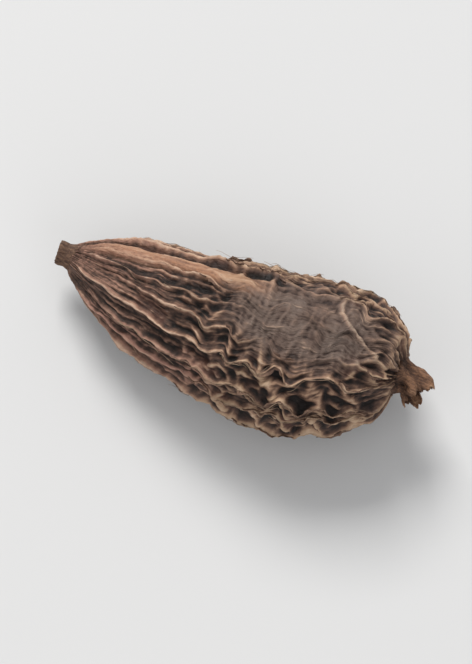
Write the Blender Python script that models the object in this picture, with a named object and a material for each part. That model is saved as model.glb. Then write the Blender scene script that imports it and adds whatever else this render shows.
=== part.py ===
# Black cardamom pod: a dried, ribbed seed capsule lying on its side.
# Metres, +Z up. The stalk end points to -X, the wide flower end to +X.
import math
import random

import bmesh
import bpy
import numpy as np

# Driving dimensions of the capsule
POD_LENGTH = 0.0265
POD_WIDTH = 0.0117
POD_HEIGHT = 0.0114
TAPER_POWER = 0.5
BLUNT_POWER = 5.0
BOW = 0.0013
NOSE_DROP_DEG = 5.0
REST_SHARE = 0.60
GROOVE_CLEARANCE = 0.00010
SECTION_LOBES = 3
SECTION_LOBE_SIZE = 0.026
DENT_SIZE = 0.028

# Driving dimensions of the ribs and of the raised net near the flower end
RIB_COUNT = 18
RIB_HEIGHT = 0.00085
RIB_HALF_WIDTH = 0.00050
RIB_UNEVEN = 0.22
RIB_SWAY = 0.13
RIB_WAVE_LENGTHS = (0.0028, 0.0044)
RIB_WAVE_WANDER = 0.35
RIB_STRENGTHS = (0.70, 1.15)
RIB_RAGGEDNESS = 0.20
RIB_RISE_END = 0.16
RIB_FALL_START = 0.95
LATE_RIB_RISE = (0.08, 0.30)
TWIST_DEG = 12.0
NET_START = 0.36
NET_FULL = 0.62
NET_SWING = 0.22
NET_NARROWING = 0.34
NET_STEP = 0.0025
NET_SLANT = 0.5
NET_BAR_HEIGHT = 0.80
NET_BAR_SHARPNESS = 5
NET_BAR_WANDER = 0.22
LEAST_GAP = 0.42

# A smoother panel on the upper side, near the flower end
PANEL_SHARE = 0.73
PANEL_HALF_LENGTH = 0.25
PANEL_ANGLE_DEG = -8.0
PANEL_HALF_ANGLE_DEG = 44.0
PANEL_FADE = 0.80

# Seats of the stalk and of the dried flower remnant
STALK_SEAT_RADIUS = 0.00125
STALK_SEAT_DEPTH = 0.00060
FLOWER_SEAT_RADIUS = 0.00165
FLOWER_SEAT_DEPTH = 0.00080
GAP = 0.00032

STALK_LENGTH = 0.0012
STALK_SIDES = 14
REMNANT_LENGTH = 0.0023
REMNANT_SIZES = ((0.0, 1.0), (0.16, 1.0), (0.32, 0.92), (0.48, 0.90), (0.64, 1.0), (0.80, 1.12), (0.92, 1.06))
REMNANT_FOLDS = 5
REMNANT_TEAR = 0.00026
REMNANT_BEND_DEG = 36.0
REMNANT_SIDES = 30

# Mesh of the capsule
COLUMNS_PER_RIB = 5
ROWS = 57
ROW_CROWDING = 0.36
SEED = 11


def clear_scene():
    for item in list(bpy.data.objects):
        bpy.data.objects.remove(item, do_unlink=True)


def smooth_step(low, high, value):
    share = np.clip((value - low) / (high - low), 0.0, 1.0)
    return share * share * (3.0 - 2.0 * share)


def ripples(along, around, seed, along_rate, around_rate, count=5):
    """A smooth irregular value of about -1 to 1, which closes round the pod."""
    draw = random.Random(seed)
    total = 0.0
    for _ in range(count):
        rate = draw.uniform(0.4, 1.0) * along_rate
        turns = draw.randint(1, around_rate) * draw.choice((-1, 1))
        total = total + np.sin(2.0 * math.pi * (rate * along + draw.random()) + turns * around)
    return total / math.sqrt(count)


def outline(share):
    """Half-width at a share of the length, from 0 at both ends to 1 at the widest place."""
    widest = (1.0 / (1.0 + BLUNT_POWER / (2.0 * TAPER_POWER))) ** (1.0 / BLUNT_POWER)
    top = widest**TAPER_POWER * math.sqrt(1.0 - widest**BLUNT_POWER)
    return share**TAPER_POWER * np.sqrt(np.maximum(1.0 - share**BLUNT_POWER, 0.0)) / top


def rib_angles(share):
    """Angle of each crest round the pod, one row for each share of the length."""
    draw = random.Random(SEED)
    net = smooth_step(NET_START, NET_FULL, share)
    places = np.empty((len(share), RIB_COUNT + 1))
    for rib in range(RIB_COUNT):
        uneven = draw.uniform(-RIB_UNEVEN, RIB_UNEVEN)
        sway = RIB_SWAY * np.sin(2.0 * math.pi * (draw.uniform(0.7, 1.3) * share + draw.random()))
        run = share * POD_LENGTH / draw.uniform(*RIB_WAVE_LENGTHS)
        wander = RIB_WAVE_WANDER * np.sin(2.0 * math.pi * (1.7 * share + draw.random()))
        wave = np.sin(2.0 * math.pi * (run + wander + draw.random()))
        places[:, rib] = rib + uneven + sway + NET_SWING * (0.25 + 0.75 * net) * wave
    places[:, RIB_COUNT] = places[:, 0] + RIB_COUNT
    gaps = np.maximum(np.diff(places, axis=1), LEAST_GAP)
    gaps *= 2.0 * math.pi / gaps.sum(axis=1, keepdims=True)
    start = 2.0 * math.pi * places[:, 0] / RIB_COUNT + math.radians(TWIST_DEG) * (share - 0.5)
    return start[:, None] + np.cumsum(gaps, axis=1) - gaps


def panel_mask(share, angle):
    """1 on the smoother panel, 0 away from it."""
    turned = (angle - math.radians(PANEL_ANGLE_DEG) + math.pi) % (2.0 * math.pi) - math.pi
    reach = np.hypot((share - PANEL_SHARE) / PANEL_HALF_LENGTH, turned / math.radians(PANEL_HALF_ANGLE_DEG))
    return 1.0 - smooth_step(0.55, 1.15, reach)


def crest_heights(share, angles):
    """Height of each crest, one row for each share of the length."""
    draw = random.Random(SEED + 1)
    heights = np.empty_like(angles)
    ends = smooth_step(0.0, RIB_RISE_END, share) * (1.0 - 0.7 * smooth_step(RIB_FALL_START, 0.995, share))
    for rib in range(RIB_COUNT):
        strength = draw.uniform(*RIB_STRENGTHS)
        waves = draw.uniform(2.0, 5.0) * share + draw.random()
        ragged = 1.0 + RIB_RAGGEDNESS * np.sin(2.0 * math.pi * waves)
        merge = smooth_step(*LATE_RIB_RISE, share) if rib % 2 else 1.0
        heights[:, rib] = strength * ragged * merge * ends
    return RIB_HEIGHT * heights * (1.0 - PANEL_FADE * panel_mask(share[:, None], angles))


def net_bars(share, rib, part):
    """Share of a crest's height that the slanting bars of the net reach between two ribs."""
    draw = random.Random(SEED + 10 + rib)
    step = NET_STEP * draw.uniform(0.8, 1.3)
    slant = NET_SLANT * draw.uniform(0.4, 1.0) * draw.choice((-1.0, 1.0))
    wander = NET_BAR_WANDER * np.sin(2.0 * math.pi * (2.3 * share + draw.random()))
    turn = share * POD_LENGTH / step + slant * (part - 0.5) + wander + draw.random()
    bar = np.abs(np.cos(math.pi * turn)) ** (2 * NET_BAR_SHARPNESS)
    return NET_BAR_HEIGHT * bar * smooth_step(NET_START, NET_FULL, share)


def body_axes(share, angle):
    """Half-width and half-height of the capsule without its ribs, at an angle round it."""
    lobes = 1.0 + SECTION_LOBE_SIZE * np.cos(SECTION_LOBES * angle)
    dents = 1.0 + DENT_SIZE * ripples(share, angle, SEED + 2, 2.4, 4)
    scale = outline(share) * lobes * dents
    return (POD_WIDTH / 2.0 - RIB_HEIGHT) * scale, (POD_HEIGHT / 2.0 - RIB_HEIGHT) * scale


def centre_line(share):
    """Sideways and upward place of the axis, from its bow and its slope."""
    side = BOW * ((2.0 * share - 1.0) ** 2 - 0.3)
    rise = math.tan(math.radians(NOSE_DROP_DEG)) * (share - REST_SHARE) * POD_LENGTH
    return side, rise


def relief(share, angles, heights, rib, part):
    """Height over the body at a place between two crests, part 0 on the first and 1 on the next."""
    after = (rib + 1) % RIB_COUNT
    gap = (angles[:, after] - angles[:, rib]) % (2.0 * math.pi)
    width = gap * outline(share) * POD_WIDTH / 2.0
    narrow = 1.0 - NET_NARROWING * smooth_step(NET_START, NET_FULL, share)
    reach = np.minimum(RIB_HALF_WIDTH * narrow, 0.34 * np.maximum(width, 1e-6))
    near = heights[:, rib] * np.exp(-((part * width / reach) ** 2))
    far = heights[:, after] * np.exp(-(((1.0 - part) * width / reach) ** 2))
    level = (1.0 - part) * heights[:, rib] + part * heights[:, after]
    bar = level * net_bars(share, rib, part)
    return (near**3 + far**3 + bar**3) ** (1.0 / 3.0)


def row_shares():
    """Shares of the length at each row of the mesh, closer together towards the flower end."""
    first = np.sin(0.5 * math.pi * np.linspace(0.0, 1.0, 400)) ** 2
    reach = outline(first) * POD_WIDTH / 2.0
    run = np.concatenate([[0.0], np.cumsum(np.hypot(np.diff(first) * POD_LENGTH, np.diff(reach)))])
    start = np.interp(STALK_SEAT_RADIUS, reach[:200], run[:200])
    finish = np.interp(-FLOWER_SEAT_RADIUS, -reach[300:], run[300:])
    place = np.linspace(0.0, 1.0, ROWS)
    place = place + ROW_CROWDING * place * (1.0 - place)
    return np.interp(start + place * (finish - start), run, first)


def capsule_rows():
    """Rings of points of the capsule's outer surface, and its lowest height without ribs."""
    share = row_shares()
    angles = rib_angles(share)
    heights = crest_heights(share, angles)
    side, rise = centre_line(share)
    slope = np.gradient(outline(share) * POD_WIDTH / 2.0, share * POD_LENGTH)
    lean = np.arctan(slope)
    columns = []
    lowest = 0.0
    for rib in range(RIB_COUNT):
        gap = (angles[:, (rib + 1) % RIB_COUNT] - angles[:, rib]) % (2.0 * math.pi)
        for step in range(COLUMNS_PER_RIB):
            part = step / COLUMNS_PER_RIB
            angle = angles[:, rib] + part * gap
            half_width, half_height = body_axes(share, angle)
            lowest = min(lowest, (rise + half_height * np.cos(angle)).min())
            lift = relief(share, angles, heights, rib, part)
            x = share * POD_LENGTH - lift * np.sin(lean)
            y = side - (half_width + lift * np.cos(lean)) * np.sin(angle)
            z = rise + (half_height + lift * np.cos(lean)) * np.cos(angle)
            columns.append(np.stack([x, y, z], axis=1))
    return np.stack(columns, axis=1), lowest


def add_rings(mesh, rings, start_tip, end_tip):
    """A closed skin over rings of points, with a tip at each end."""
    loops = [[mesh.verts.new(point) for point in ring] for ring in rings]
    count = len(loops[0])
    for before, after in zip(loops, loops[1:]):
        for step in range(count):
            following = (step + 1) % count
            mesh.faces.new((before[step], before[following], after[following], after[step]))
    for tip, loop, flip in ((start_tip, loops[0], True), (end_tip, loops[-1], False)):
        point = mesh.verts.new(tip)
        for step in range(count):
            corners = (loop[step], loop[(step + 1) % count], point)
            mesh.faces.new(corners[::-1] if flip else corners)
    bmesh.ops.recalc_face_normals(mesh, faces=mesh.faces)


def seat_ring(rim, radius_share, depth, toward):
    """A ring inside a seat, drawn in from its rim and sunk along the pod."""
    middle = rim.mean(axis=0)
    ring = middle + (rim - middle) * radius_share
    ring[:, 0] = middle[0] + toward * depth
    return ring


def capsule_mesh():
    rows, lowest = capsule_rows()
    rows[:, :, 2] += GROOVE_CLEARANCE - lowest
    rows[:, :, 2] = np.maximum(rows[:, :, 2], 0.0)
    stalk_rim, flower_rim = rows[0], rows[-1]
    stalk_seat = [seat_ring(stalk_rim, share, STALK_SEAT_DEPTH, 1.0) for share in (0.45, 0.88)]
    flower_seat = [seat_ring(flower_rim, share, FLOWER_SEAT_DEPTH, -1.0) for share in (0.90, 0.45)]
    rings = stalk_seat + list(rows) + flower_seat
    mesh = bmesh.new()
    add_rings(mesh, rings, stalk_seat[0].mean(axis=0), flower_seat[-1].mean(axis=0))
    return mesh, stalk_rim.mean(axis=0), flower_rim.mean(axis=0)


def stalk_mesh(seat):
    """The short cut stub of the stalk, narrower than its seat and a little ridged."""
    start = seat[0] + STALK_SEAT_DEPTH - GAP
    end = seat[0] - STALK_LENGTH
    radius = STALK_SEAT_RADIUS * 0.88 - GAP
    rings = []
    for share, size in ((0.0, 0.90), (0.30, 1.0), (0.55, 1.20), (0.85, 1.22), (1.0, 0.96)):
        ring = []
        for step in range(STALK_SIDES):
            angle = -2.0 * math.pi * step / STALK_SIDES
            ridge = 1.0 + 0.09 * math.cos(5.0 * angle + 1.5 * share) + 0.05 * math.cos(2.0 * angle)
            reach = radius * size * ridge
            slant = 0.00022 * math.cos(angle + 0.8) * smooth_step(0.4, 1.0, share)
            x = start + (end - start) * share + slant
            ring.append((x, seat[1] + reach * math.sin(angle), seat[2] + reach * math.cos(angle)))
        rings.append(ring)
    mesh = bmesh.new()
    add_rings(mesh, rings, (start, seat[1], seat[2]), (end + 0.5 * GAP, seat[1], seat[2]))
    return mesh


def remnant_mesh(seat):
    """The dried, shrivelled and torn remnant of the flower tube, bent to one side."""
    radius = FLOWER_SEAT_RADIUS * 0.90 - GAP
    start = seat[0] - FLOWER_SEAT_DEPTH + GAP
    total = REMNANT_LENGTH + FLOWER_SEAT_DEPTH - GAP
    bend = math.radians(REMNANT_BEND_DEG)
    rings = []
    for share, size in REMNANT_SIZES:
        ring = []
        past = max(share - 0.28, 0.0) / 0.72
        tilt = bend * past
        folded = smooth_step(0.0, 0.45, share)
        centre_x = start + total * (share - 0.22 * past * past * math.sin(bend))
        centre_y = seat[1] - total * 0.26 * past * past
        centre_z = seat[2] - total * 0.10 * past * past
        for step in range(REMNANT_SIDES):
            angle = -2.0 * math.pi * step / REMNANT_SIDES
            folds = math.cos(REMNANT_FOLDS * angle + 2.6 * share) + 0.5 * math.sin(2.0 * angle + 1.1)
            reach = radius * size * (1.0 + 0.19 * folds * folded)
            torn = 0.8 * math.sin(2.0 * angle + 0.4) + folds
            along = REMNANT_TEAR * torn * smooth_step(0.55, 1.0, share)
            sideways = reach * math.sin(angle)
            x = centre_x + along * math.cos(tilt) + sideways * math.sin(tilt)
            y = centre_y + sideways * math.cos(tilt) - along * math.sin(tilt)
            ring.append((x, y, centre_z + reach * math.cos(angle)))
        rings.append(ring)
    mouth = np.array(rings[-1])
    middle = mouth.mean(axis=0)
    inward = np.array([-math.cos(bend), math.sin(bend), 0.0]) * REMNANT_TEAR * 1.6
    rings.append([tuple(point) for point in middle + (mouth - middle) * 0.5 + inward])
    mesh = bmesh.new()
    add_rings(mesh, rings, (start, seat[1], seat[2]), tuple(middle + inward))
    return mesh


def material(name, colour, roughness):
    made = bpy.data.materials.new(name)
    made.use_nodes = True
    shader = made.node_tree.nodes["Principled BSDF"]
    shader.inputs["Base Color"].default_value = (*colour, 1.0)
    shader.inputs["Roughness"].default_value = roughness
    shader.inputs["Metallic"].default_value = 0.0
    return made


def add_object(name, source, colour, roughness):
    data = bpy.data.meshes.new(name)
    source.to_mesh(data)
    source.free()
    data.shade_smooth()
    data.set_sharp_from_angle(angle=math.radians(50.0))
    data.materials.append(material(name, colour, roughness))
    item = bpy.data.objects.new(name, data)
    bpy.context.scene.collection.objects.link(item)
    return item


def centre_on_origin(items):
    """Puts the middle of the whole pod over the origin, and leaves its height as it is."""
    points = np.array([vertex.co for item in items for vertex in item.data.vertices])
    middle = (points.min(axis=0) + points.max(axis=0)) / 2.0
    for item in items:
        for vertex in item.data.vertices:
            vertex.co.x -= middle[0]
            vertex.co.y -= middle[1]


def main():
    clear_scene()
    capsule, stalk_seat, flower_seat = capsule_mesh()
    items = [
        add_object("husk", capsule, (0.105, 0.042, 0.026), 0.72),
        add_object("stalk_stub", stalk_mesh(stalk_seat), (0.165, 0.085, 0.045), 0.85),
        add_object("flower_remnant", remnant_mesh(flower_seat), (0.210, 0.105, 0.050), 0.80),
    ]
    centre_on_origin(items)


main()
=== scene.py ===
import math
import random

import bpy
import numpy as np
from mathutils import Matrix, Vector, noise


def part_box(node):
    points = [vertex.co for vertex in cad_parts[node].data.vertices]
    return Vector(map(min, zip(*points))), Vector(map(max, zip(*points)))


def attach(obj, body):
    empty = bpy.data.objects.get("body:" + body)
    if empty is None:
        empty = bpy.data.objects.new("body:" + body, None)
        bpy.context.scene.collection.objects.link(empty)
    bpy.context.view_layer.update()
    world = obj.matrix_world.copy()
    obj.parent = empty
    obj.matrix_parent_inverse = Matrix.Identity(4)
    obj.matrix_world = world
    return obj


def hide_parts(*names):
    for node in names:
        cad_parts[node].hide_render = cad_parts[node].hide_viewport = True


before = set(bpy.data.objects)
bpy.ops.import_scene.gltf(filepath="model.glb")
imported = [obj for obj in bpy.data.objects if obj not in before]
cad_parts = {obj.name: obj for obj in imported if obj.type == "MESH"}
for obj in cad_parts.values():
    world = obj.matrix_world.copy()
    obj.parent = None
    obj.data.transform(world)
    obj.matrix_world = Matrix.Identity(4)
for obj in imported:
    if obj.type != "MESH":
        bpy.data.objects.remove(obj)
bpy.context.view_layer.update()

tau = 2.0 * math.pi
noise.seed_set(7)  # the same folds in every run

# The husk's form, the same as in the solid that it replaces, in metres, degrees and shares of the length
husk = {
    "length": 0.0265, "width": 0.0117, "height": 0.0114,
    "taper": 0.5, "blunt": 5.0, "bow": 0.0013, "slopeDeg": 5.0, "restShare": 0.60,
    "grooveClearance": 0.00010,
    "lobes": 3, "lobeSize": 0.026, "dentSize": 0.028,
    "ribs": 18, "ribHeight": 0.00085, "ribHalfWidth": 0.00050, "ribUneven": 0.22, "ribSway": 0.13,
    "waveLengths": (0.0028, 0.0044), "waveWander": 0.35, "strengths": (0.70, 1.15), "raggedness": 0.20,
    "riseEnd": 0.16, "fallStart": 0.95, "lateRise": (0.08, 0.30), "twistDeg": 12.0,
    "netStart": 0.36, "netFull": 0.62, "netSwing": 0.22, "netNarrowing": 0.34,
    "netStep": 0.0025, "netSlant": 0.5, "netBarHeight": 0.80, "netBarSharpness": 5,
    "netBarWander": 0.22, "leastGap": 0.42,
    "panelShare": 0.73, "panelHalfLength": 0.25, "panelAngleDeg": -8.0, "panelHalfAngleDeg": 44.0,
    "panelFade": 0.80,
    "stalkSeat": 0.00125, "stalkSeatDepth": 0.00060, "flowerSeat": 0.00165, "flowerSeatDepth": 0.00080,
    "columnsPerRib": 5, "rows": 57, "rowCrowding": 0.36, "seed": 11,
}
# What the skin adds to it
skin = {
    "columnsPerRib": 20, "rows": 262, "radius": 0.0055, "groundGap": 0.00012,
    # sharper, ragged and curled crests
    "sharpShare": 0.50, "sharpWidth": 0.32, "crestKnurl": 0.20, "crestKnurlSize": 0.00095,
    "crestCurl": 0.00007, "netCurl": 0.00017, "curlSize": 0.0011, "barShare": 0.85,
    # streaks, wrinkles, and furrows between ribs: place, seed, depth
    "streak": 0.000070, "streakSize": 0.00038, "wrinkle": 0.000085, "wrinkleSize": 0.0011,
    "trough": 0.00024, "troughWidth": 0.00016, "troughs": ((0.36, 5, 1.0), (0.66, 15, 0.8)),
    "troughSize": 0.0040, "troughPatch": 0.0045, "troughWander": 0.20,
    # fine net between the crests
    "cellSize": 0.00122, "cellHeight": 0.00052, "cellWidth": 0.00013, "cellStretch": 0.72,
    "cellBend": 0.00050, "cellBendSize": 0.0010, "cellPatch": 0.0028, "netEarly": 0.08,
    # smooth panel and its thin rim
    "panelLine": 0.000072, "panelLineStep": 0.00098, "panelLineWidth": 0.42, "panelArc": 0.0011,
    "panelWander": 0.42, "panelWanderSize": 0.0019, "panelPatch": 0.0023,
    "panelGrit": 0.000030, "panelGritSize": 0.00052,
    "rim": 0.00026, "rimWidth": 0.00021, "rimShare": 0.79, "rimSweep": 0.165,
    "rimWander": 0.006, "rimWanderSize": 0.0012,
    # broad smooth ridge, dark furrow below it
    "band": 0.00062, "bandAngleDeg": -29.0, "bandHalfDeg": 10.5, "bandEnd": 0.60, "bandCalm": 0.55,
    "stripe": 0.55, "stripeAngleDeg": -6.0, "stripeHalfDeg": 6.5,
    # unevenness all over
    "lumps": 0.00012, "lumpSize": 0.0013, "grit": 0.000060, "gritSize": 0.00032,
}


def smoothStep(low, high, value):
    share = np.clip((value - low) / (high - low), 0.0, 1.0)
    return share * share * (3.0 - 2.0 * share)


def between(value, riseStart, riseEnd, fallStart, fallEnd):
    # 1 between a soft rise and a soft fall, 0 outside them
    return smoothStep(riseStart, riseEnd, value) * (1.0 - smoothStep(fallStart, fallEnd, value))


def bell(value):
    return np.exp(-value ** 2)


def turned(angle, middleDeg):
    # Angle from a middle line, within half a turn
    return (angle - math.radians(middleDeg) + math.pi) % tau - math.pi


def ripples(along, around, seed, alongRate, aroundRate, count=5):
    draw = random.Random(seed)
    total = 0.0
    for _ in range(count):
        rate = draw.uniform(0.4, 1.0) * alongRate
        turns = draw.randint(1, aroundRate) * draw.choice((-1, 1))
        total = total + np.sin(tau * (rate * along + draw.random()) + turns * around)
    return total / math.sqrt(count)


def outline(share):
    widest = (1.0 / (1.0 + husk["blunt"] / (2.0 * husk["taper"]))) ** (1.0 / husk["blunt"])
    top = widest ** husk["taper"] * math.sqrt(1.0 - widest ** husk["blunt"])
    return share ** husk["taper"] * np.sqrt(np.maximum(1.0 - share ** husk["blunt"], 0.0)) / top


def netShare(share):
    return smoothStep(husk["netStart"], husk["netFull"], share)


def ribAngles(share):
    draw = random.Random(husk["seed"])
    ribs = husk["ribs"]
    places = np.empty((len(share), ribs + 1))
    for rib in range(ribs):
        uneven = draw.uniform(-husk["ribUneven"], husk["ribUneven"])
        sway = husk["ribSway"] * np.sin(tau * (draw.uniform(0.7, 1.3) * share + draw.random()))
        turns = share * husk["length"] / draw.uniform(*husk["waveLengths"])
        wander = husk["waveWander"] * np.sin(tau * (1.7 * share + draw.random()))
        wave = np.sin(tau * (turns + wander + draw.random()))
        places[:, rib] = rib + uneven + sway + husk["netSwing"] * (0.25 + 0.75 * netShare(share)) * wave
    places[:, ribs] = places[:, 0] + ribs
    gaps = np.maximum(np.diff(places, axis=1), husk["leastGap"])
    gaps *= tau / gaps.sum(axis=1, keepdims=True)
    begin = tau * places[:, 0] / ribs + math.radians(husk["twistDeg"]) * (share - 0.5)
    return begin[:, None] + np.cumsum(gaps, axis=1) - gaps


def panelMask(share, angle):
    reach = np.hypot((share - husk["panelShare"]) / husk["panelHalfLength"],
                     turned(angle, husk["panelAngleDeg"]) / math.radians(husk["panelHalfAngleDeg"]))
    return 1.0 - smoothStep(0.55, 1.15, reach)


def crestHeights(share, angles):
    draw = random.Random(husk["seed"] + 1)
    heights = np.empty_like(angles)
    ends = smoothStep(0.0, husk["riseEnd"], share)
    ends = ends * (1.0 - 0.7 * smoothStep(husk["fallStart"], 0.995, share))
    for rib in range(husk["ribs"]):
        strength = draw.uniform(*husk["strengths"])
        ragged = 1.0 + husk["raggedness"] * np.sin(tau * (draw.uniform(2.0, 5.0) * share + draw.random()))
        merge = smoothStep(*husk["lateRise"], share) if rib % 2 else 1.0
        heights[:, rib] = strength * ragged * merge * ends
    return husk["ribHeight"] * heights * (1.0 - husk["panelFade"] * panelMask(share[:, None], angles))


def netBars(share, rib, part):
    # Bars from rib to rib, which make the net
    ribs = husk["ribs"]
    step, slant, phase, begin = (np.empty(ribs) for _ in range(4))
    for index in range(ribs):
        draw = random.Random(husk["seed"] + 10 + index)
        step[index] = husk["netStep"] * draw.uniform(0.8, 1.3)
        slant[index] = husk["netSlant"] * draw.uniform(0.4, 1.0) * draw.choice((-1.0, 1.0))
        phase[index] = draw.random()
        begin[index] = draw.random()
    along = share[:, None]
    wander = husk["netBarWander"] * np.sin(tau * (2.3 * along + phase[rib]))
    turn = along * husk["length"] / step[rib] + slant[rib] * (part - 0.5) + wander + begin[rib]
    bar = np.abs(np.cos(math.pi * turn)) ** (2 * husk["netBarSharpness"])
    return husk["netBarHeight"] * bar * netShare(along)


def sample(places, size, offset, look):
    # What a noise gives at each place
    flat = (places.reshape(-1, 3) / size).tolist()
    return np.array([look(Vector(place) + offset) for place in flat])


def grain(places, size, seed, octaves=2):
    # Irregular value of about -1 to 1
    offset = Vector((7.31 * seed, 3.17 * seed, 5.71 * seed))
    found = sample(places, size, offset, lambda place: noise.fractal(place, 0.9, 2.0, octaves))
    return found.reshape(places.shape[:-1])


def curl(places, size, seed):
    # Irregular direction
    offset = Vector((2.11 * seed, 9.37 * seed, 4.53 * seed))
    return sample(places, size, offset, noise.noise_vector).reshape(places.shape)


def cellEdge(places, size, seed):
    # Distance to the nearest border of irregular cells, in metres
    offset = Vector((1.37 * seed, 6.71 * seed, 3.29 * seed))
    reach = sample(places, size, offset, lambda place: noise.voronoi(place)[0])
    return (reach[:, 1] - reach[:, 0]).reshape(places.shape[:-1]) * size / 2.0


def soften(grid):
    # Evens neighbouring rows and columns, so that a thin line across them has no teeth
    grid = (np.roll(grid, 1, axis=1) + 2.0 * grid + np.roll(grid, -1, axis=1)) / 4.0
    padded = np.concatenate([grid[:1], grid, grid[-1:]])
    return (padded[:-2] + 2.0 * padded[1:-1] + padded[2:]) / 4.0


def unroll(share, turn, stretch):
    # Places on a straight tube, so that a pattern closes round the pod; a low stretch draws it out
    along = share[:, None] * husk["length"] * stretch + 0.0 * turn
    turn = turn + 0.0 * along
    return np.stack([along, skin["radius"] * np.cos(turn), skin["radius"] * np.sin(turn)], axis=2)


def ribLine(share, size, seed, octaves=2):
    # An irregular value along each rib, with its own course on each
    along = share[:, None] * husk["length"] + np.zeros(husk["ribs"])
    own = np.arange(husk["ribs"])[None, :] * 3.7 * size + 0.0 * along
    return grain(np.stack([along, own, own * 0.0], axis=2), size, seed, octaves)


def smoothBand(share, angle):
    # The one broad, smooth ridge on the upper side, from the stalk end to past the middle
    reach = np.abs(turned(angle, skin["bandAngleDeg"]) / math.radians(skin["bandHalfDeg"]))
    end = skin["bandEnd"]
    return np.exp(-reach ** 4) * between(share, 0.03, 0.14, end - 0.12, end + 0.04)


def darkStripe(share, angle):
    # The dark furrow below it
    reach = turned(angle, skin["stripeAngleDeg"]) / math.radians(skin["stripeHalfDeg"])
    return bell(reach) * between(share, 0.12, 0.22, 0.46, 0.58)


def thinRim(share, angle):
    # The thin bright ridge that bounds the smooth panel towards the flower end
    side = turned(angle, 0.0)
    wander = skin["rimWander"] * grain(unroll(share, angle, 1.0), skin["rimWanderSize"], 13, 2)
    edge = skin["rimShare"] + skin["rimSweep"] * smoothStep(-0.62, 0.36, side) + wander
    reach = between(side, -0.85, -0.55, 0.40, 0.75) * (1.0 - 0.6 * smoothStep(-0.25, 0.25, side))
    return bell((share[:, None] - edge) * husk["length"] / skin["rimWidth"]) * reach


def furrows(share, rib, part, width):
    # Wandering furrows between each pair of ribs
    total = 0.0
    for middle, seed, depth in skin["troughs"]:
        middle = middle + skin["troughWander"] * ribLine(share, skin["troughSize"], seed)[:, rib]
        there = smoothStep(-0.45, 0.15, ribLine(share, skin["troughPatch"], seed + 1)[:, rib])
        total = total + depth * there * bell((part - middle) * width / skin["troughWidth"])
    return total


def fineNet(share, angle, even):
    # Thin raised borders of irregular cells, stronger in patches
    places = unroll(share, angle, skin["cellStretch"])
    places = places + skin["cellBend"] * curl(places, skin["cellBendSize"], 7)
    lines = bell(cellEdge(places, skin["cellSize"], 8) / skin["cellWidth"])
    if even:
        lines = soften(soften(lines))
    patches = grain(unroll(share, angle, 1.0), skin["cellPatch"], 9, 1)
    return lines * (0.45 + 0.55 * smoothStep(-0.35, 0.25, patches))


def panelRelief(share, angle):
    # Faint curved lines across the panel, and a fine grain
    places = unroll(share, angle, 1.0)
    bent = skin["panelArc"] * np.cos(1.6 * turned(angle, husk["panelAngleDeg"]))
    turn = (share[:, None] * husk["length"] + bent) / skin["panelLineStep"]
    turn = turn + skin["panelWander"] * grain(places, skin["panelWanderSize"], 10, 3)
    ring = bell(np.sin(math.pi * turn) / skin["panelLineWidth"])
    ring = ring + 0.35 * bell(np.cos(math.pi * turn) / skin["panelLineWidth"])
    ring = ring * smoothStep(-0.55, 0.25, grain(places, skin["panelPatch"], 12, 2))
    fine = grain(unroll(share, angle, 0.55), skin["panelGritSize"], 14, 3)
    return skin["panelLine"] * ring + skin["panelGrit"] * fine


def fineRelief(share, angle, place, part, width, level, lift):
    # Small forms that the solid leaves out
    along = share[:, None]
    body = between(along, 0.0, 0.05, 0.975, 0.998)
    panel = panelMask(along, angle)
    net = netShare(along) * (1.0 - panel)
    onCrest = np.clip(lift / np.maximum(level, 1e-6), 0.0, 1.0)
    calm = 1.0 - skin["bandCalm"] * smoothBand(along, angle)
    fibres = unroll(share, tau * place[None, :] / husk["ribs"], 0.15)
    streaks = 1.0 - 2.2 * np.abs(grain(fibres, skin["streakSize"], 3, 3))
    streaks = streaks * body * (1.0 - 0.35 * net) * (1.0 - 0.6 * panel) * calm
    wrinkles = grain(unroll(share, angle, 1.0), skin["wrinkleSize"], 4, 4) * body * (0.7 + 0.6 * net) * calm
    troughs = furrows(share, place.astype(int), part, width) * smoothStep(0.06, 0.2, along)
    troughs = troughs * (1.0 - 0.6 * net) * (1.0 - panel) * calm
    early = skin["netEarly"]
    cells = smoothStep(husk["netStart"] - early, husk["netFull"] - early, along) * body
    cells = cells * (1.0 - 0.88 * panel) * (1.0 - 0.55 * onCrest)
    cells = cells * fineNet(share, angle, len(place) > husk["ribs"])
    total = skin["streak"] * streaks + skin["wrinkle"] * wrinkles + skin["trough"] * troughs
    total = total + skin["cellHeight"] * cells + panelRelief(share, angle) * panel
    return total + skin["rim"] * thinRim(share, angle)


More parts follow.
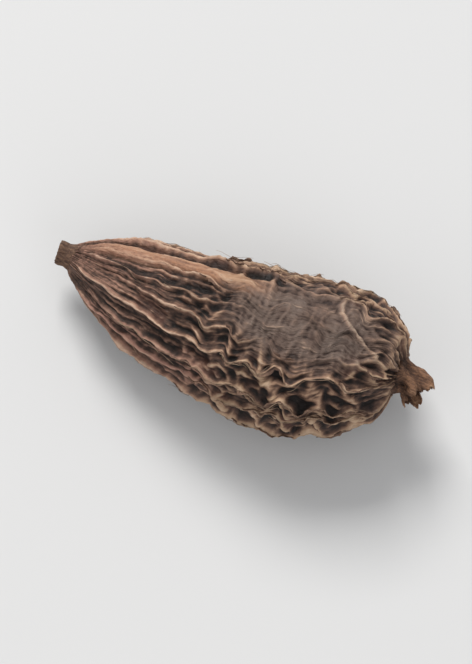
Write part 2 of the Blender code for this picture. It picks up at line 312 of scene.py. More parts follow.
def huskSurface(share, columnsPerRib, fine):
    # Points of the outer surface, one row for each share of the length
    ribs = husk["ribs"]
    place = np.arange(ribs * columnsPerRib) / columnsPerRib
    rib = place.astype(int)
    part = place - rib
    after = (rib + 1) % ribs
    angles = ribAngles(share)
    heights = crestHeights(share, angles)
    along = share[:, None]
    if fine:
        heights = heights * (1.0 + skin["crestKnurl"] * ribLine(share, skin["crestKnurlSize"], 1, 3))
        swing = skin["crestCurl"] + (skin["netCurl"] - skin["crestCurl"]) * netShare(along)
        swing = 2.0 * swing / skin["radius"] * smoothStep(0.05, 0.2, along)
        angles = angles + swing * ribLine(share, skin["curlSize"], 2, 2)
    gap = (angles[:, after] - angles[:, rib]) % tau
    angle = angles[:, rib] + part * gap
    width = gap * outline(along) * husk["width"] / 2.0
    narrow = 1.0 - husk["netNarrowing"] * netShare(along)
    reach = np.minimum(husk["ribHalfWidth"] * narrow, 0.34 * np.maximum(width, 1e-6))
    nearEdge = part * width / reach
    farEdge = (1.0 - part) * width / reach
    near, far = bell(nearEdge), bell(farEdge)
    level = (1.0 - part) * heights[:, rib] + part * heights[:, after]
    bars = level * netBars(share, rib, part)
    if fine:
        sharp = skin["sharpShare"] * (1.0 - 0.5 * panelMask(along, angle))
        near = (1.0 - sharp) * near + sharp * bell(nearEdge / skin["sharpWidth"])
        far = (1.0 - sharp) * far + sharp * bell(farEdge / skin["sharpWidth"])
        bars = skin["barShare"] * bars
    near, far = near * heights[:, rib], far * heights[:, after]
    lift = (near ** 3 + far ** 3 + bars ** 3) ** (1.0 / 3.0)
    lobes = 1.0 + husk["lobeSize"] * np.cos(husk["lobes"] * angle)
    dents = 1.0 + husk["dentSize"] * ripples(along, angle, husk["seed"] + 2, 2.4, 4)
    scale = outline(along) * lobes * dents
    halfWidth = (husk["width"] / 2.0 - husk["ribHeight"]) * scale
    halfHeight = (husk["height"] / 2.0 - husk["ribHeight"]) * scale
    side = husk["bow"] * ((2.0 * along - 1.0) ** 2 - 0.3)
    rise = math.tan(math.radians(husk["slopeDeg"])) * (along - husk["restShare"]) * husk["length"]
    lowest = min(0.0, (rise + halfHeight * np.cos(angle)).min())
    if fine:
        lift = lift * (1.0 - skin["stripe"] * darkStripe(along, angle))
        lift = (lift ** 4 + (skin["band"] * smoothBand(along, angle)) ** 4) ** 0.25
        lift = lift + fineRelief(share, angle, place, part, width, level, lift)
    slope = np.gradient(outline(share) * husk["width"] / 2.0, share * husk["length"])[:, None]
    lean = np.arctan(slope) + 0.0 * angle
    x = along * husk["length"] - lift * np.sin(lean)
    y = side - (halfWidth + lift * np.cos(lean)) * np.sin(angle)
    z = rise + (halfHeight + lift * np.cos(lean)) * np.cos(angle)
    outward = (-np.sin(lean), -np.cos(lean) * np.sin(angle), np.cos(lean) * np.cos(angle))
    return {"points": np.stack([x, y, z], axis=2), "outward": np.stack(outward, axis=2), "angle": angle,
            "place": place, "part": part, "rib": rib, "lowest": lowest}


def arcTable():
    # Length along the outline at shares of the axis, and where the two seats begin
    shares = np.sin(0.5 * math.pi * np.linspace(0.0, 1.0, 400)) ** 2
    reach = outline(shares) * husk["width"] / 2.0
    steps = np.hypot(np.diff(shares) * husk["length"], np.diff(reach))
    lengths = np.concatenate([[0.0], np.cumsum(steps)])
    begin = np.interp(husk["stalkSeat"], reach[:200], lengths[:200])
    end = np.interp(-husk["flowerSeat"], -reach[300:], lengths[300:])
    return shares, lengths, begin, end


shares, lengths, start, finish = arcTable()
rowPlaces = np.linspace(0.0, 1.0, husk["rows"])
rowPlaces = rowPlaces + husk["rowCrowding"] * rowPlaces * (1.0 - rowPlaces)
cadShare = np.interp(start + rowPlaces * (finish - start), lengths, shares)
cadForm = huskSurface(cadShare, husk["columnsPerRib"], False)
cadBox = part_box("husk")
cadPoints = cadForm["points"].reshape(-1, 3)
shift = np.array([cadBox[0][0] - cadPoints[:, 0].min(),
                  cadBox[0][1] - cadPoints[:, 1].min(),
                  husk["grooveClearance"] - cadForm["lowest"]])
print("husk form found, shift", shift.round(6).tolist(), "top gap",
      round(cadBox[1][2] - (cadPoints[:, 2].max() + shift[2]), 6))
fineShare = np.interp(np.linspace(start, finish, skin["rows"]), lengths, shares)
form = huskSurface(fineShare, skin["columnsPerRib"], True)
points = form["points"] + shift
stalkSeatPlace = points[0].mean(axis=0)
flowerSeatPlace = points[-1].mean(axis=0)


def pick(*pieces):
    # Selects these pieces alone, the first one active
    bpy.ops.object.select_all(action="DESELECT")
    for piece in pieces:
        piece.select_set(True)
    bpy.context.view_layer.objects.active = pieces[0]


def active():
    return bpy.context.view_layer.objects.active


def joined(pieces, name):
    pick(*pieces)
    bpy.ops.object.join()
    active().name = name
    return active()


def applyModifier(piece, kind, name, **settings):
    pick(piece)
    modifier = piece.modifiers.new(name, kind)
    for key, value in settings.items():
        setattr(modifier, key, value)
    bpy.ops.object.modifier_apply(modifier=modifier.name)


def crumple(piece, name, size, depth, strength):
    texture = bpy.data.textures.new(name, "CLOUDS")
    texture.noise_scale = size
    texture.noise_depth = depth
    applyModifier(piece, "DISPLACE", name, texture=texture, texture_coords="LOCAL", strength=strength,
                  mid_level=0.5)


def getPoints(piece):
    found = np.empty(len(piece.data.vertices) * 3, np.float32)
    piece.data.vertices.foreach_get("co", found)
    return found.reshape(-1, 3).astype(float)


def setPoints(piece, values):
    piece.data.vertices.foreach_set("co", np.asarray(values, np.float32).reshape(-1))
    piece.data.update()


def setValues(piece, name, values):
    # A value or a vector at each point, for a material
    values = np.asarray(values, np.float32)
    kind = "FLOAT_VECTOR" if values.ndim == 2 else "FLOAT"
    made = piece.data.attributes.new(name, kind, "POINT")
    made.data.foreach_set("vector" if values.ndim == 2 else "value", values.reshape(-1))


def cutRows(piece, rows):
    # Rings of edges at even steps along a cylinder one unit high
    pick(piece)
    bpy.ops.object.mode_set(mode="EDIT")
    for cut in range(1, rows):
        bpy.ops.mesh.select_all(action="SELECT")
        bpy.ops.mesh.bisect(plane_co=(0, 0, cut / rows - 0.5), plane_no=(0, 0, 1))
    bpy.ops.mesh.select_mode(type="VERT")
    bpy.ops.object.mode_set(mode="OBJECT")


def cutAway(piece, chosen):
    # Deletes the chosen points with their faces
    for kind in (piece.data.polygons, piece.data.edges, piece.data.vertices):
        kind.foreach_set("select", [False] * len(kind))
    piece.data.vertices.foreach_set("select", chosen.tolist())
    pick(piece)
    bpy.ops.object.mode_set(mode="EDIT")
    bpy.ops.mesh.select_mode(type="VERT")
    bpy.ops.mesh.delete(type="VERT")
    bpy.ops.mesh.select_all(action="SELECT")
    bpy.ops.mesh.delete_loose()
    bpy.ops.object.mode_set(mode="OBJECT")


def closeSkin(piece):
    # Turns every face outwards and shades it smooth
    pick(piece)
    bpy.ops.object.mode_set(mode="EDIT")
    bpy.ops.mesh.select_all(action="SELECT")
    bpy.ops.mesh.normals_make_consistent(inside=False)
    bpy.ops.object.mode_set(mode="OBJECT")
    bpy.ops.object.shade_smooth()


def settle(places):
    # Presses what would sink into the ground gently flat above it
    low = skin["groundGap"]
    pressed = low * np.exp(np.minimum(places[:, 2] / low - 1.0, 0.0))
    places[:, 2] = np.where(places[:, 2] < low, pressed, places[:, 2])
    return places


def blurGrid(grid, steps):
    # Mean over a window of rows and of columns, which close round the pod
    total = np.zeros_like(grid)
    for step in range(-steps, steps + 1):
        total += np.roll(grid, step, axis=1)
    padded = np.concatenate([total[:1]] * steps + [total] + [total[-1:]] * steps)
    result = np.zeros_like(grid)
    for step in range(2 * steps + 1):
        result += padded[step:step + len(grid)]
    return result / (2 * steps + 1) ** 2


# Tints over the husk; thin and broad edges have a window in rows and a full height
tint = {
    "edge": (2, 0.000060), "ridge": (7, 0.00030),
    "seed": 17, "ribTone": 0.16, "bandTone": 0.62, "stripeTone": 0.45, "rimTone": 1.40, "stalkTone": 0.42,
    "blushAngleDeg": 74.0, "blushHalf": 0.34, "stalkAngleDeg": -12.0, "stalkHalf": 0.95,
    "stalkBlush": 0.62, "bandBlush": 0.6,
}


def huskValues(grid):
    # What the husk's material reads at the finished rows and columns
    along, angle, part, rib = fineShare[:, None], form["angle"], form["part"], form["rib"]
    normal = np.cross(np.roll(grid, -1, axis=1) - np.roll(grid, 1, axis=1), np.gradient(grid, axis=0))
    normal /= np.maximum(np.linalg.norm(normal, axis=2, keepdims=True), 1e-12)
    normal *= np.sign((normal * form["outward"]).sum(axis=2).mean())
    panel, band = panelMask(along, angle), smoothBand(along, angle)
    stalkEnd = bell(turned(angle, tint["stalkAngleDeg"]) / tint["stalkHalf"])
    stalkEnd = stalkEnd * (1.0 - smoothStep(0.10, 0.46, along))
    draw = random.Random(tint["seed"])
    ribTones = np.array([draw.uniform(-1.0, 1.0) for _ in range(husk["ribs"])])
    tone = tint["ribTone"] * ((1.0 - part) * ribTones[rib] + part * ribTones[(rib + 1) % husk["ribs"]])
    tone = tone + tint["bandTone"] * band - tint["stripeTone"] * darkStripe(along, angle)
    tone = tone + tint["rimTone"] * thinRim(fineShare, angle) + tint["stalkTone"] * stalkEnd
    blush = bell(turned(angle, tint["blushAngleDeg"]) / tint["blushHalf"])
    blush = blush * between(along, 0.05, 0.15, 0.45, 0.60)
    blush = np.maximum(blush, tint["stalkBlush"] * stalkEnd * (1.0 - tint["bandBlush"] * band))

    def raised(steps, height):
        # 0 for a furrow, 1 for a crest, against the mean around it; the husk's material paints shade and
        # highlight from it
        found = ((grid - blurGrid(grid, steps)) * normal).sum(axis=2) / height
        return np.clip(0.5 + 0.5 * found, 0, 1)

    return {"net": netShare(along) * (1.0 - panel), "edge": raised(*tint["edge"]),
            "ridge": raised(*tint["ridge"]), "band": band, "panel": panel, "tone": 0.5 + 0.5 * tone,
            "blush": blush, "fibre": unroll(fineShare, tau * form["place"] / husk["ribs"], 1.0)}


def makeHusk():
    # A sphere whose rings become the rows of the surface, with a closed seat at each end
    rows = list(points)
    for share in (0.88, 0.62, 0.30):
        ring = stalkSeatPlace + (points[0] - stalkSeatPlace) * share
        ring[:, 0] = stalkSeatPlace[0] + husk["stalkSeatDepth"]
        rows.insert(0, ring)
    for share in (0.90, 0.62, 0.30):
        ring = flowerSeatPlace + (points[-1] - flowerSeatPlace) * share
        ring[:, 0] = flowerSeatPlace[0] - husk["flowerSeatDepth"]
        rows.append(ring)
    rows = np.array(rows)
    columns = rows.shape[1]
    bpy.ops.mesh.primitive_uv_sphere_add(segments=columns, ring_count=len(rows) + 1, radius=1.0)
    piece = active()
    piece.name = "huskSkin"
    places = getPoints(piece)
    row = np.rint(np.arccos(np.clip(places[:, 2], -1, 1)) / math.pi * (len(rows) + 1)).astype(int) - 1
    column = np.rint(-np.arctan2(places[:, 1], places[:, 0]) / tau * columns).astype(int) % columns
    target = rows[np.clip(row, 0, len(rows) - 1), column]
    target[row < 0] = rows[0].mean(axis=0)
    target[row >= len(rows)] = rows[-1].mean(axis=0)
    setPoints(piece, target)
    crumple(piece, "lumps", skin["lumpSize"], 2, skin["lumps"])
    crumple(piece, "grit", skin["gritSize"], 3, skin["grit"])
    moved = settle(getPoints(piece))
    setPoints(piece, moved)
    closeSkin(piece)
    inside = (row >= 3) & (row < len(rows) - 3)
    where = (row[inside] - 3, column[inside])
    grid = np.zeros((len(points), columns, 3))
    grid[where] = moved[inside]
    for name, found in huskValues(grid).items():
        flat = np.zeros((len(moved),) + found.shape[2:])
        flat[inside] = found[where]
        setValues(piece, name, flat)
    return piece


huskSkin = makeHusk()
print("husk skin made,", len(huskSkin.data.polygons), "faces")


def crestLines(startShare, endGap, rows):
    # The crests of all ribs, in even steps along the outline
    along = np.linspace(start + startShare * (finish - start), finish - endGap, rows)
    share = np.interp(along, lengths, shares)
    base = huskSurface(share, 1, True)
    return share, base, base["points"] + shift


# Thin torn frills that stand on the crests over the net
frill = {
    "height": 0.00038, "thickness": 0.00006, "sink": 0.00013, "leastShare": 0.14,
    "ruffle": 0.00026, "ruffleSize": 0.0012, "patchSize": 0.0030, "tearSize": 0.00075, "leanSize": 0.0050,
    "rows": 190, "levels": 5, "startShare": 0.26, "endGap": 0.0002, "fade": (0.90, 0.965),
    "overGround": (0.0003, 0.0014), "sideRoom": 0.00018, "sideFade": 0.0005,
}


def makeFrills():
    pieces = []
    share, base, crests = crestLines(frill["startShare"], frill["endGap"], frill["rows"])
    ruffles = ribLine(share, frill["ruffleSize"], 21, 2)
    smallRuffles = ribLine(share, frill["ruffleSize"] * 0.4, 22, 2)
    leans = ribLine(share, frill["leanSize"], 23, 1)
    patches = smoothStep(-0.25, 0.20, ribLine(share, frill["patchSize"], 24, 2))
    tears = 0.62 + 0.55 * ribLine(share, frill["tearSize"], 25, 3)
    heights = np.clip(tears * patches, 0.02, 1.1)
    wide = between(share, husk["netStart"] - 0.10, husk["netFull"], *frill["fade"])
    least = frill["height"] * frill["leastShare"]
    for rib in range(husk["ribs"]):
        line = crests[:, rib]
        normal = base["outward"][:, rib]
        tangent = np.gradient(line, axis=0)
        tangent /= np.linalg.norm(tangent, axis=1, keepdims=True)
        across = np.cross(normal, tangent)
        clear = wide * (1.0 - 0.95 * panelMask(share, base["angle"][:, rib]))
        clear = clear * smoothStep(*frill["overGround"], line[:, 2])
        sideGap = cadBox[1][1] + frill["sideRoom"] - np.abs(line[:, 1])
        clear = clear * smoothStep(0.0, frill["sideFade"], sideGap)
        height = frill["height"] * heights[:, rib] * clear
        if height.max() < least:
            continue
        bpy.ops.mesh.primitive_grid_add(x_subdivisions=frill["rows"] - 1,
                                        y_subdivisions=frill["levels"] - 1, size=1.0)
        piece = active()
        places = getPoints(piece)
        row = np.rint((places[:, 0] + 0.5) * (frill["rows"] - 1)).astype(int)
        level = places[:, 1] + 0.5
        out = (height[row] * level - frill["sink"])[:, None] * normal[row]
        ruffle = ruffles[row, rib] + 0.6 * smallRuffles[row, rib] * level
        swing = frill["ruffle"] * 2.0 * clear[row] * ruffle + 1.6 * leans[row, rib] * height[row]
        setPoints(piece, line[row] + out + (swing * level ** 1.3)[:, None] * across[row])
        setValues(piece, "level", level * np.clip(height[row] / frill["height"], 0.0, 1.0))
        drawn = np.stack([0.10 * share[row] * husk["length"] + 0.0011 * level * smallRuffles[row, rib],
                          0.004 * rib + height[row] * level, 0.0 * level], axis=1)
        setValues(piece, "fibre", drawn)
        cutAway(piece, height[row] < least)
        applyModifier(piece, "SOLIDIFY", "thick", thickness=frill["thickness"], offset=0.0)
        pieces.append(piece)
    piece = joined(pieces, "netFrills")
    closeSkin(piece)
    setPoints(piece, settle(getPoints(piece)))
    return piece


netFrills = makeFrills()
print("frills made,", len(netFrills.data.polygons), "faces")

# Loose dry fibres, lifted off the crests
fibre = {
    "count": 130, "sides": 5, "cuts": 18, "rows": 240, "startShare": 0.1, "radius": 0.000021,
    "lengths": (0.0012, 0.0042), "lift": 0.00030, "wave": 0.00010, "smoothing": 3, "reachRows": 50,
    "overGround": 0.0012, "sideFade": (-0.0001, 0.0006), "seed": 51,
}


def makeFibres():
    draw = random.Random(fibre["seed"])
    share, base, crests = crestLines(fibre["startShare"], 0.0, fibre["rows"])
    for _ in range(fibre["smoothing"]):
        crests[1:-1] = (crests[:-2] + 2.0 * crests[1:-1] + crests[2:]) / 4.0
    bpy.ops.mesh.primitive_cylinder_add(vertices=fibre["sides"], radius=1.0, depth=1.0,
                                        end_fill_type="TRIFAN")
    model = active()
    cutRows(model, fibre["cuts"])
    places = getPoints(model)
    part = places[:, 2] + 0.5
    pieces = []
    for _ in range(fibre["count"]):
        rib = draw.randrange(husk["ribs"])
        length = draw.uniform(*fibre["lengths"])
        begin = draw.betavariate(2.4, 1.2) * (len(share) - fibre["reachRows"])
        reach = slice(int(begin), int(begin) + fibre["reachRows"])
        onPanel = panelMask(share[reach], base["angle"][reach, rib]).max() > 0.5
        if crests[reach, rib, 2].min() < fibre["overGround"] or onPanel:
            continue
        row = np.clip(begin + part * length / husk["length"] * len(share), 0, len(share) - 1)
        low = np.floor(row).astype(int)
        high = np.minimum(low + 1, len(share) - 1)
        tangents = np.gradient(crests[:, rib], axis=0)
        partway = (row - low)[:, None]
        centre, normal, tangent = (lines[low] * (1 - partway) + lines[high] * partway
                                   for lines in (crests[:, rib], base["outward"][:, rib], tangents))
        tangent /= np.linalg.norm(tangent, axis=1, keepdims=True)
        across = np.cross(normal, tangent)
        free = part ** 2 if draw.random() < 0.5 else (1 - part) ** 2
        free = free * smoothStep(*fibre["sideFade"], cadBox[1][1] - np.abs(centre[:, 1]))
        drift = draw.uniform(-0.9, 0.9) * fibre["lift"] * 2.2
        centre = centre + normal * (fibre["lift"] * draw.uniform(0.2, 1.0) * free)[:, None]
        wave = fibre["wave"] * np.sin(tau * (part * 1.3 + draw.random()))
        centre = centre + across * (drift * free + wave)[:, None]
        radius = fibre["radius"] * draw.uniform(0.7, 1.3) * (1.0 - 0.6 * free)
        moved = centre + normal * (radius * places[:, 0])[:, None]
        moved = moved + across * (radius * places[:, 1])[:, None]
        moved[:, 2] = np.maximum(moved[:, 2], 0.0)
        copied = model.copy()
        copied.data = model.data.copy()
        bpy.context.collection.objects.link(copied)
        setPoints(copied, moved)
        pieces.append(copied)
    pick(model)
    bpy.ops.object.delete()
    piece = joined(pieces, "looseFibres")
    closeSkin(piece)
    return piece


looseFibres = makeFibres()
print("fibres made,", len(looseFibres.data.polygons), "faces")

# Stalk stub: its size at places from the seat to the cut
stalk = {
    "radius": 0.00112, "sunk": 0.0005, "sides": 72, "rows": 18, "rings": 7,
    "places": (0.0, 0.25, 0.38, 0.62, 0.88, 1.0), "sizes": (0.82, 1.06, 0.94, 0.80, 0.88, 0.83),
    "oval": 0.05, "ridge": 0.11, "ridgeSize": 0.00046,
    "cup": 0.00016, "fray": 0.00007, "fraySize": 0.00017, "slant": 0.00014, "back": 0.00012,
}


def makeStalk():
    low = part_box("stalk_stub")[0]
    bpy.ops.mesh.primitive_cylinder_add(vertices=stalk["sides"], radius=stalk["radius"], depth=1.0,
                                        end_fill_type="NGON")
    piece = active()
    piece.name = "stalkCut"
    bpy.ops.object.mode_set(mode="EDIT")
    bpy.ops.mesh.select_mode(type="FACE")
    bpy.ops.mesh.select_all(action="DESELECT")
    bpy.ops.object.mode_set(mode="OBJECT")
    for face in piece.data.polygons:
        face.select = abs(face.normal.z) > 0.5
    bpy.ops.object.mode_set(mode="EDIT")
    for _ in range(stalk["rings"]):
        bpy.ops.mesh.inset(thickness=stalk["radius"] / (stalk["rings"] + 1), use_even_offset=False)
    bpy.ops.object.mode_set(mode="OBJECT")
    cutRows(piece, stalk["rows"])
    places = getPoints(piece)
    share = 0.5 - places[:, 2]
    reach = np.minimum(np.hypot(places[:, 0], places[:, 1]) / stalk["radius"], 1.0)
    angle = np.arctan2(places[:, 1], places[:, 0])
    length = stalkSeatPlace[0] + stalk["sunk"] - low[0]
    drawn = np.stack([0.25 * share * length, places[:, 0], places[:, 1]], axis=1)
    ridges = 1.0 + stalk["ridge"] * grain(drawn, stalk["ridgeSize"], 31, 3) * reach
    ridges += stalk["oval"] * np.cos(2.0 * angle + 0.7)
    radius = stalk["radius"] * reach * np.interp(share, stalk["places"], stalk["sizes"]) * ridges
    end = smoothStep(0.75, 1.0, share)
    flat = np.stack([0.0 * share, places[:, 0], places[:, 1]], axis=1)
    fray = stalk["fray"] * grain(flat, stalk["fraySize"], 32, 2)
    x = stalkSeatPlace[0] + stalk["sunk"] + stalk["back"] - share * length
    x = x + (fray + stalk["cup"] * (1.0 - reach ** 2) + stalk["slant"] * np.cos(angle + 0.8)) * end
    setPoints(piece, np.stack([x, stalkSeatPlace[1] + radius * np.sin(angle),
                               stalkSeatPlace[2] + radius * np.cos(angle)], axis=1))
    setValues(piece, "cut", smoothStep(0.93, 1.0, share) * (1.0 - 0.75 * smoothStep(0.80, 1.0, reach)))
    closeSkin(piece)
    applyModifier(piece, "SUBSURF", "round", levels=1, render_levels=1)
    return piece


stalkCut = makeStalk()
print("stalk made,", len(stalkCut.data.polygons), "faces")

# Dried flower remnant: an outer and an inner tube, each with its size, reach and turn
remnant = {
    "radius": 0.00117, "length": 0.0022, "sunk": 0.00048, "thickness": 0.00009, "sides": 120, "rows": 40,
    "tubes": ((1.0, 1.0, 0.0), (0.66, 0.86, 0.7)), "bendDeg": 36.0, "bendStart": 0.28,
    "drawIn": 0.22, "drawAside": 0.26, "drawDown": 0.10,
    "places": (0.0, 0.10, 0.19, 0.32, 0.48, 0.64, 0.80, 0.92, 1.0),
    "sizes": (1.0, 1.22, 1.28, 0.98, 0.84, 0.92, 1.02, 1.04, 0.96),
    "folds": 5, "foldDepth": 0.20, "creaseDepth": 0.055, "tornReach": 0.00024, "jagReach": 0.00016,
    "crumple": 0.00022, "crumpleSize": 0.00055,
}


def makeRemnant():
    seat = flowerSeatPlace
    total = remnant["length"] + remnant["sunk"]
    bend = math.radians(remnant["bendDeg"])
    tubes = []
    for index, (size, reachOut, turn) in enumerate(remnant["tubes"]):
        bpy.ops.mesh.primitive_cylinder_add(vertices=remnant["sides"], radius=1.0, depth=1.0,
                                            end_fill_type="NOTHING")
        piece = active()
        cutRows(piece, remnant["rows"])
        places = getPoints(piece)
        share = places[:, 2] + 0.5
        angle = np.arctan2(places[:, 1], places[:, 0])
        past = np.maximum(share - remnant["bendStart"], 0.0) / (1.0 - remnant["bendStart"])
        tilt = bend * past
        folded = smoothStep(0.0, 0.45, share)
        folds = np.cos(remnant["folds"] * angle + 2.6 * share + turn)
        folds = folds + 0.5 * np.sin(2.0 * angle + 1.1 + turn)
        creases = 0.5 * np.cos(13 * angle + 5.0 * share + turn) + 0.5 * np.cos(19 * angle - 7.0 * share)
        sizes = remnant["sizes"] if index == 0 else np.minimum(remnant["sizes"], 1.0)
        radius = remnant["radius"] * size * np.interp(share, remnant["places"], sizes)
        radius = radius * (1.0 + (remnant["foldDepth"] * folds + remnant["creaseDepth"] * creases) * folded)
        torn = 0.8 * np.sin(2.0 * angle + 0.4) + folds
        jag = 0.5 * np.sin(17 * angle + 1.0) + 0.5 * np.sin(29 * angle + turn) + 0.4 * np.sin(7 * angle)
        along = (remnant["tornReach"] * torn + remnant["jagReach"] * jag) * smoothStep(0.5, 1.0, share)
        drawIn = remnant["drawIn"] * math.sin(bend) * past ** 2
        x = seat[0] - remnant["sunk"] + total * (reachOut * share - drawIn)
        y = seat[1] - total * remnant["drawAside"] * past ** 2
        z = seat[2] - total * remnant["drawDown"] * past ** 2
        sideways = radius * np.sin(angle)
        setPoints(piece, np.stack([x + along * np.cos(tilt) + sideways * np.sin(tilt),
                                   y + sideways * np.cos(tilt) - along * np.sin(tilt),
                                   z + radius * np.cos(angle)], axis=1))
        setValues(piece, "share", share)
        # 1 on the outer folds, 0 in the creases; the material paints the creases darker as shade
        setValues(piece, "fold", 0.5 + 0.5 * np.clip(folds / 1.4, -1, 1))
        crumple(piece, "crumple%d" % index, remnant["crumpleSize"], 2, remnant["crumple"])
        applyModifier(piece, "SOLIDIFY", "thick", thickness=remnant["thickness"], offset=0.0)
        tubes.append(piece)
    piece = joined(tubes, "flowerTube")
    closeSkin(piece)
    return piece


flowerTube = makeRemnant()
print("flower remnant made,", len(flowerTube.data.polygons), "faces")


# Shader maths as expressions on sockets
class Wire:
    def __init__(self, paint, socket):
        self.paint = paint
        self.socket = socket

    def maths(self, operation, first, second):
        return self.paint.node("ShaderNodeMath", {"operation": operation}, {0: first, 1: second})

    def __add__(self, other):
        return self.maths("ADD", self, other)

    def __radd__(self, other):
        return self.maths("ADD", other, self)

    def __sub__(self, other):
        return self.maths("SUBTRACT", self, other)

    def __rsub__(self, other):
        return self.maths("SUBTRACT", other, self)

    def __mul__(self, other):
        return self.maths("MULTIPLY", self, other)

    def __rmul__(self, other):
        return self.maths("MULTIPLY", other, self)


class Paint:
    def __init__(self, name):
        self.material = bpy.data.materials.new(name)
        self.material.use_nodes = True
        self.tree = self.material.node_tree
        self.tree.nodes.clear()

    def node(self, kind, settings=None, sockets=None, out=0):
        made = self.tree.nodes.new(kind)
        for key, value in (settings or {}).items():
            if key == "stops":
                while len(made.color_ramp.elements) < len(value):
                    made.color_ramp.elements.new(0.5)
                for element, (place, colour) in zip(made.color_ramp.elements, value):
                    element.position = place
                    element.color = colour
            else:
                setattr(made, key, value)
        for key, value in (sockets or {}).items():
            if isinstance(value, Wire):
                self.tree.links.new(value.socket, made.inputs[key])
            else:
                made.inputs[key].default_value = value
        return Wire(self, made.outputs[out]) if made.outputs else made

    def value(self, name):
        return self.node("ShaderNodeAttribute", {"attribute_name": name}, out="Fac")

    def vector(self, name):
        return self.node("ShaderNodeAttribute", {"attribute_name": name}, out="Vector")

    def place(self):
        return self.node("ShaderNodeTexCoord", out="Object")

    def drawn(self, vector, stretch):
        # A stretch under 1 draws a pattern out along the first axis
        sockets = {0: vector, 1: (stretch, 1.0, 1.0)}
        return self.node("ShaderNodeVectorMath", {"operation": "MULTIPLY"}, sockets)

    def noise(self, vector, size, detail=3.0, roughness=0.55):
        sockets = {"Vector": vector, "Scale": 1.0 / size, "Detail": detail, "Roughness": roughness}
        return self.node("ShaderNodeTexNoise", {}, sockets, out="Fac")

    def spread(self, value, low, high, bottom=0.0, top=1.0):
        sockets = {"Value": value, "From Min": low, "From Max": high, "To Min": bottom, "To Max": top}
        return self.node("ShaderNodeMapRange", {"interpolation_type": "SMOOTHSTEP"}, sockets)

    def ramp(self, value, *stops):
        return self.node("ShaderNodeValToRGB", {"stops": stops}, {"Fac": value}, out="Color")

    def mix(self, factor, colour, other):
        return self.node("ShaderNodeMix", {"data_type": "RGBA"}, {0: factor, 6: colour, 7: other}, out=2)

    def bump(self, height, strength, distance, normal=None):
        sockets = {"Height": height, "Strength": strength, "Distance": distance}
        if normal:
            sockets["Normal"] = normal
        return self.node("ShaderNodeBump", {}, sockets)

    def finish(self, colour, roughness, normal, specular=0.4):
        shader = self.node("ShaderNodeBsdfPrincipled", {}, {
            "Base Color": colour, "Roughness": roughness, "Normal": normal, "Specular IOR Level": specular},
            out="BSDF")
        self.node("ShaderNodeOutputMaterial", {}, {"Surface": shader})
        return self.material


def rgb(red, green, blue):
    return (red, green, blue, 1.0)


# The two darkest colours are painted shade for the grooves; the lightest is a painted highlight for the
# crest tips and also colours the pale scratches
huskColours = {
    "paintedGrooveShade": rgb(0.0095, 0.0060, 0.0050), "dark": rgb(0.036, 0.0195, 0.0145),
    "body": rgb(0.104, 0.057, 0.040), "slope": rgb(0.195, 0.107, 0.071), "crest": rgb(0.360, 0.207, 0.138),
    "crestHighlightAndScratch": rgb(0.60, 0.42, 0.30), "grey": rgb(0.150, 0.115, 0.097), "red": rgb(0.135, 0.048, 0.031),
    "tan": rgb(0.37, 0.180, 0.098), "dust": rgb(0.29, 0.235, 0.20), "pink": rgb(0.43, 0.225, 0.172),
    "straw": rgb(0.43, 0.295, 0.180),
}


